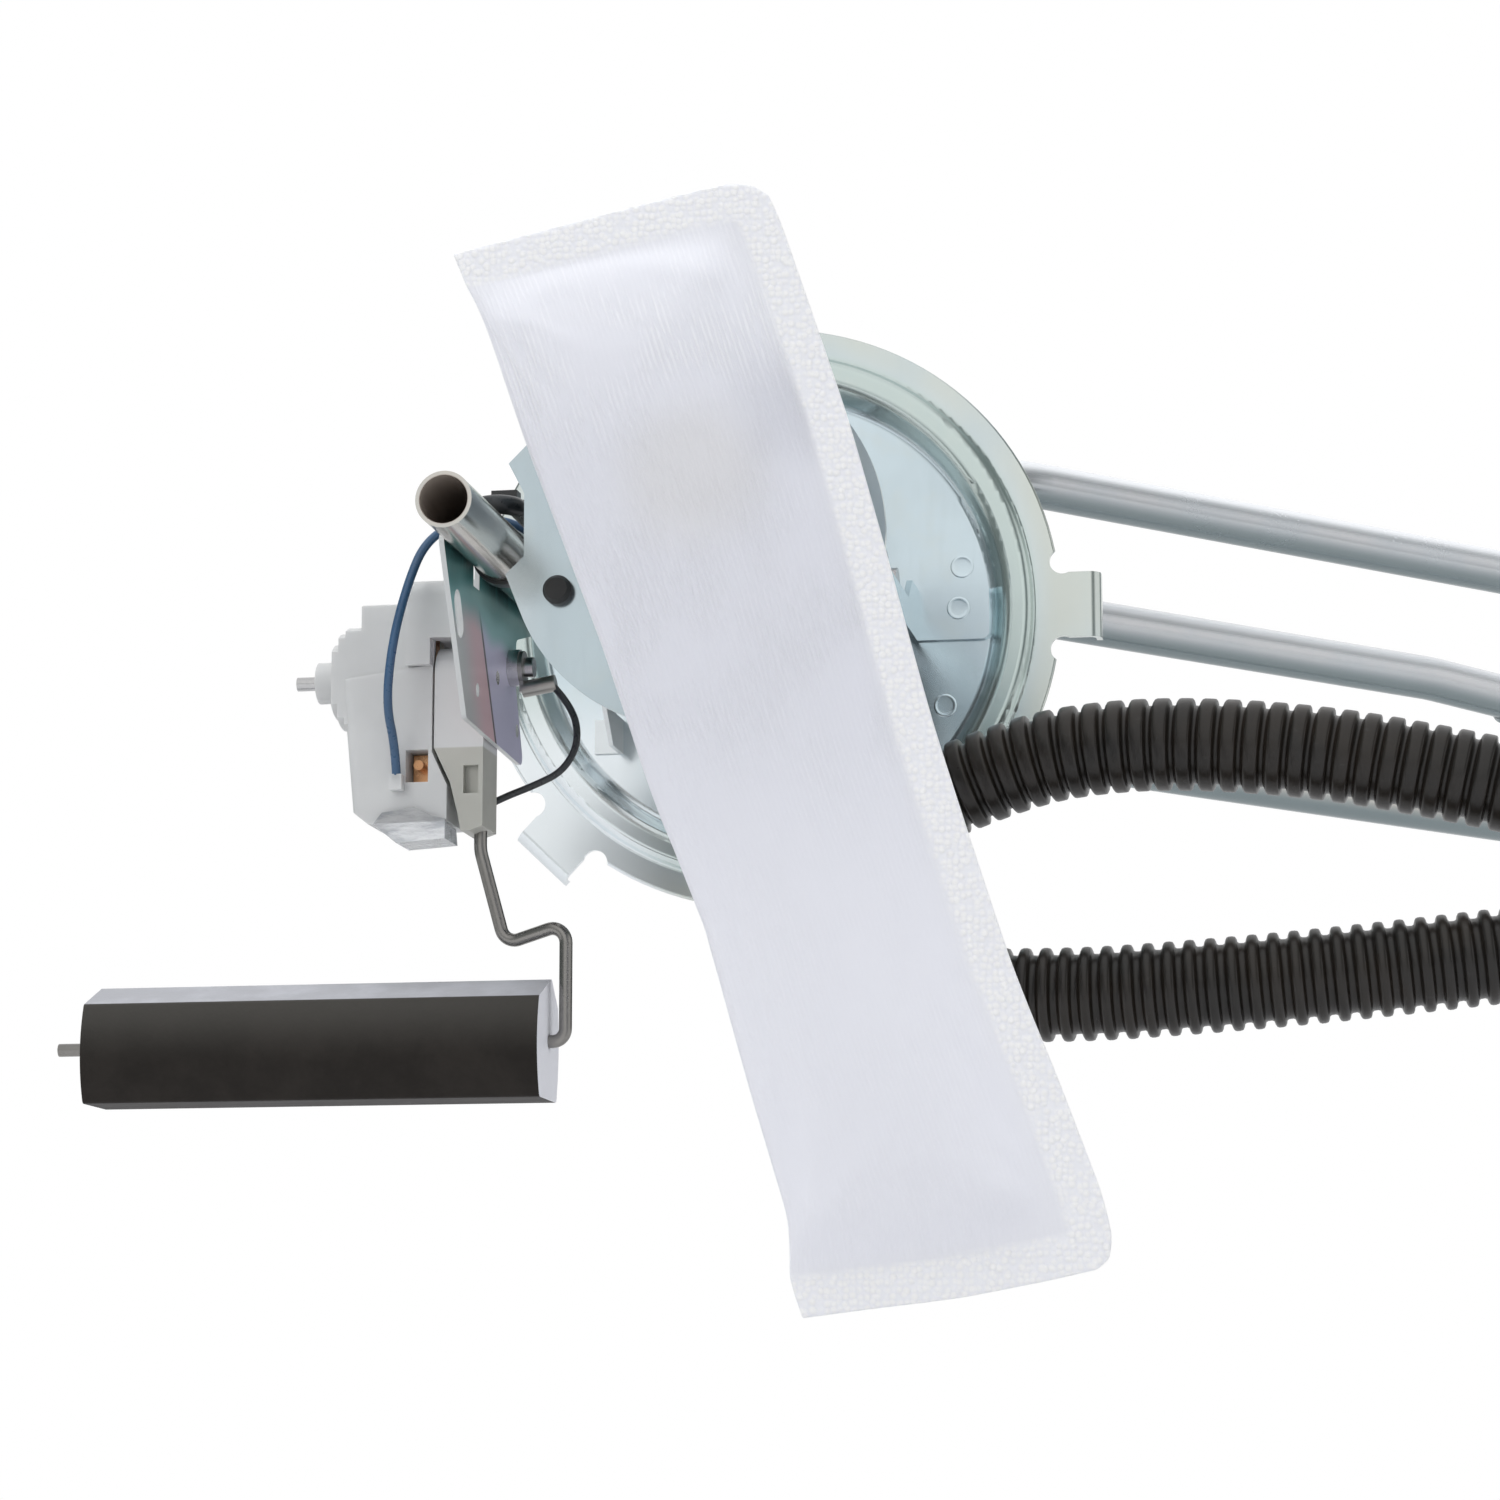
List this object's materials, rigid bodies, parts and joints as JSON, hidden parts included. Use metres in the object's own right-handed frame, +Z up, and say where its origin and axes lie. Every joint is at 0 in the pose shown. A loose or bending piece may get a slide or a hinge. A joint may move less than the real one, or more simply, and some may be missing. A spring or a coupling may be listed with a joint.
{
  "type": "fuel pump module",
  "caption": "In-tank fuel pump module with a round locking flange, hanger-mounted pump, mesh strainer, float level sender, steel lines and corrugated hoses.",
  "frame": {"origin": "centre of the flange's sealing face", "axes": "-Y into the tank along the module's axis, +X to the right, +Z up"},
  "size_m": [0.2806, 0.2933, 0.207],
  "materials": {
    "zinc": "satin",
    "zinc_irid": "satin",
    "line_steel": "satin",
    "pump_steel": "satin",
    "bright_steel": "satin",
    "arm_wire": "satin",
    "cast": "satin",
    "copper": "satin",
    "ceramic": "matte",
    "black_plastic": "matte",
    "black_rubber": "matte",
    "float_foam": "matte",
    "white_nylon": "matte",
    "grey_nylon": "matte",
    "clear_plastic": "gloss",
    "card": "matte",
    "sock": "woven",
    "wire_blue": "gloss",
    "wire_black": "gloss"
  },
  "bodies": {
    "base": {"bearing_lower": "bright_steel", "bearing_upper": "bright_steel", "brush_left": "ceramic", "brush_right": "ceramic", "brush_spring_left": "bright_steel", "brush_spring_right": "bright_steel", "cable_tie": "white_nylon", "connector_blades": "copper", "connector_body": "black_plastic", "connector_seal": "black_rubber", "flange": "zinc", "ground_stud": "bright_steel", "ground_wire": "wire_black", "hanger_strut": "zinc", "hose_clamp_line": "bright_steel", "hose_clamp_pump": "bright_steel", "lower_hose": "black_plastic", "lower_hose_end": "black_plastic", "lower_hose_spigot": "black_plastic", "magnet_left": "ceramic", "magnet_right": "ceramic", "outlet_hose": "black_rubber", "pump_can": "pump_steel", "pump_inlet_cover": "cast", "pump_isolator": "black_rubber", "pump_lead": "wire_black", "pump_mid_plate": "cast", "pump_outlet_cap": "black_plastic", "pump_plug": "black_plastic", "pump_support": "zinc", "pump_terminal_left": "copper", "pump_terminal_right": "copper", "return_line": "line_steel", "ring_terminal": "copper", "sender_body": "white_nylon", "sender_bracket": "zinc_irid", "sender_card": "card", "sender_contacts": "copper", "sender_crimp": "copper", "sender_pin": "bright_steel", "sender_wire": "wire_blue", "strainer_frame": "white_nylon", "strainer_hub": "white_nylon", "strainer_ring": "bright_steel", "strainer_sock": "sock", "supply_line": "line_steel", "terminal_block": "clear_plastic", "upper_hose": "black_plastic", "upper_hose_end": "black_plastic", "upper_hose_spigot": "black_plastic", "vent_line": "line_steel"},
    "rotor": {"pump_armature": "bright_steel", "pump_impeller": "black_plastic"},
    "sender_arm": {"arm_hub": "grey_nylon", "sender_wiper": "copper", "float_arm": "arm_wire", "float_stop": "bright_steel"},
    "float": {"float": "float_foam"},
    "check_valve": {"check_ball": "bright_steel"}
  },
  "joints": [
    {"name": "arm_swing", "type": "hinge", "parent": "base", "child": "sender_arm", "pos_m": [0, -0.105, -0.0321], "axis": [-1, 0, 0], "range_deg": [0, 85]},
    {"name": "float_spin", "type": "hinge", "parent": "sender_arm", "child": "float", "pos_m": [-0.0614, -0.105, -0.097], "axis": [1, 0, 0], "continuous": true},
    {"name": "rotor_spin", "type": "hinge", "parent": "base", "child": "rotor", "pos_m": [0.011, -0.08, -0.015], "axis": [0, 1, 0], "continuous": true},
    {"name": "check_lift", "type": "slide", "parent": "base", "child": "check_valve", "axis": [0, 1, 0], "range_m": [0, 0.0015]}
  ]
}
